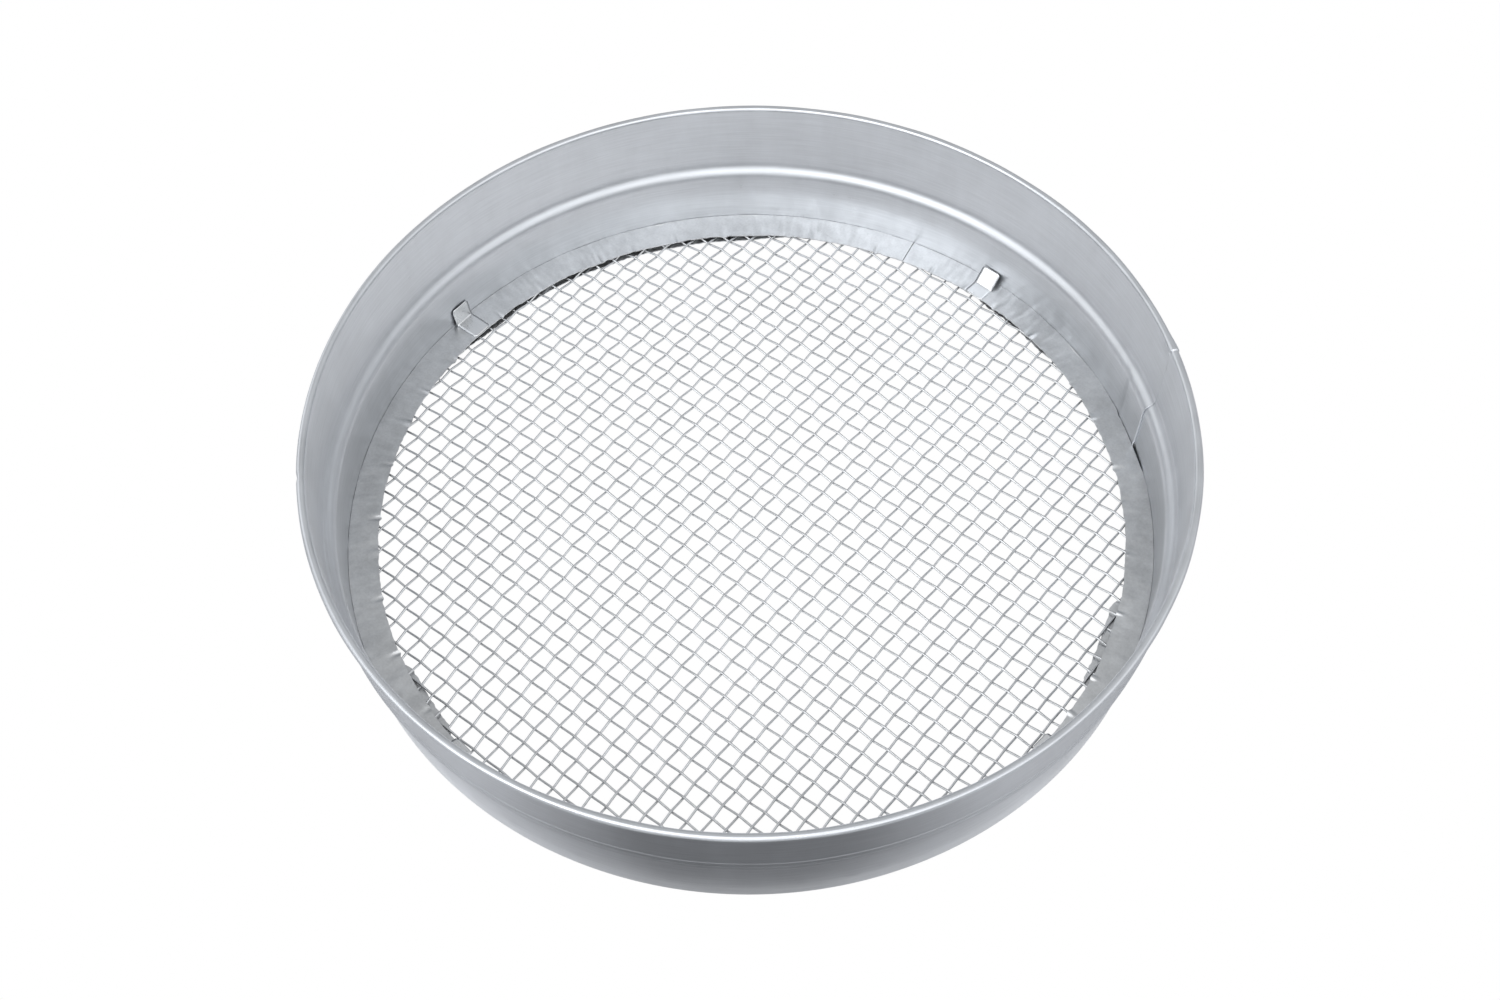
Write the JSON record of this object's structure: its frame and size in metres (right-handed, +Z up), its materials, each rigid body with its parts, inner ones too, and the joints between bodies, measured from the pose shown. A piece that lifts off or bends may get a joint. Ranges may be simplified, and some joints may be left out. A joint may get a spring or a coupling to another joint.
{
  "type": "soil sieve",
  "caption": "Round sheet-steel garden sieve with a wired rim and a stepped wall, and a drop-in woven-wire screen with spring tabs, for riddling soil and compost.",
  "frame": {"origin": "on the sieve's axis, in the plane that the sieve stands on", "axes": "+Z up along the sieve's axis, out of its open top; X and Y run along the two sets of wires"},
  "size_m": [0.37, 0.37, 0.072],
  "materials": {
    "wall_sheet": "satin",
    "rim_wire": "drawn",
    "strip_sheet": "satin",
    "tab_steel": "satin",
    "cloth_wire": "drawn"
  },
  "bodies": {
    "wall": {"wall_shell": "wall_sheet", "rim_wire": "rim_wire"},
    "screen": {"screen_rim": "strip_sheet", "screen_tab_1": "tab_steel", "screen_tab_2": "tab_steel", "screen_tab_3": "tab_steel", "screen_tab_4": "tab_steel", "warp_wires_01": "cloth_wire", "warp_wires_02": "cloth_wire", "warp_wires_03": "cloth_wire", "warp_wires_04": "cloth_wire", "warp_wires_05": "cloth_wire", "warp_wires_06": "cloth_wire", "warp_wires_07": "cloth_wire", "warp_wires_08": "cloth_wire", "warp_wires_09": "cloth_wire", "warp_wires_10": "cloth_wire", "warp_wires_11": "cloth_wire", "warp_wires_12": "cloth_wire", "warp_wires_13": "cloth_wire", "warp_wires_14": "cloth_wire", "warp_wires_15": "cloth_wire", "warp_wires_16": "cloth_wire", "warp_wires_17": "cloth_wire", "warp_wires_18": "cloth_wire", "warp_wires_19": "cloth_wire", "warp_wires_20": "cloth_wire", "warp_wires_21": "cloth_wire", "warp_wires_22": "cloth_wire", "weft_wires_01": "cloth_wire", "weft_wires_02": "cloth_wire", "weft_wires_03": "cloth_wire", "weft_wires_04": "cloth_wire", "weft_wires_05": "cloth_wire", "weft_wires_06": "cloth_wire", "weft_wires_07": "cloth_wire", "weft_wires_08": "cloth_wire", "weft_wires_09": "cloth_wire", "weft_wires_10": "cloth_wire", "weft_wires_11": "cloth_wire", "weft_wires_12": "cloth_wire", "weft_wires_13": "cloth_wire", "weft_wires_14": "cloth_wire", "weft_wires_15": "cloth_wire", "weft_wires_16": "cloth_wire", "weft_wires_17": "cloth_wire", "weft_wires_18": "cloth_wire", "weft_wires_19": "cloth_wire", "weft_wires_20": "cloth_wire", "weft_wires_21": "cloth_wire", "weft_wires_22": "cloth_wire"}
  },
  "joints": [
    {"name": "screen_lift", "type": "slide", "parent": "wall", "child": "screen", "axis": [0, 0, 1], "range_m": [0, 0.085]}
  ]
}
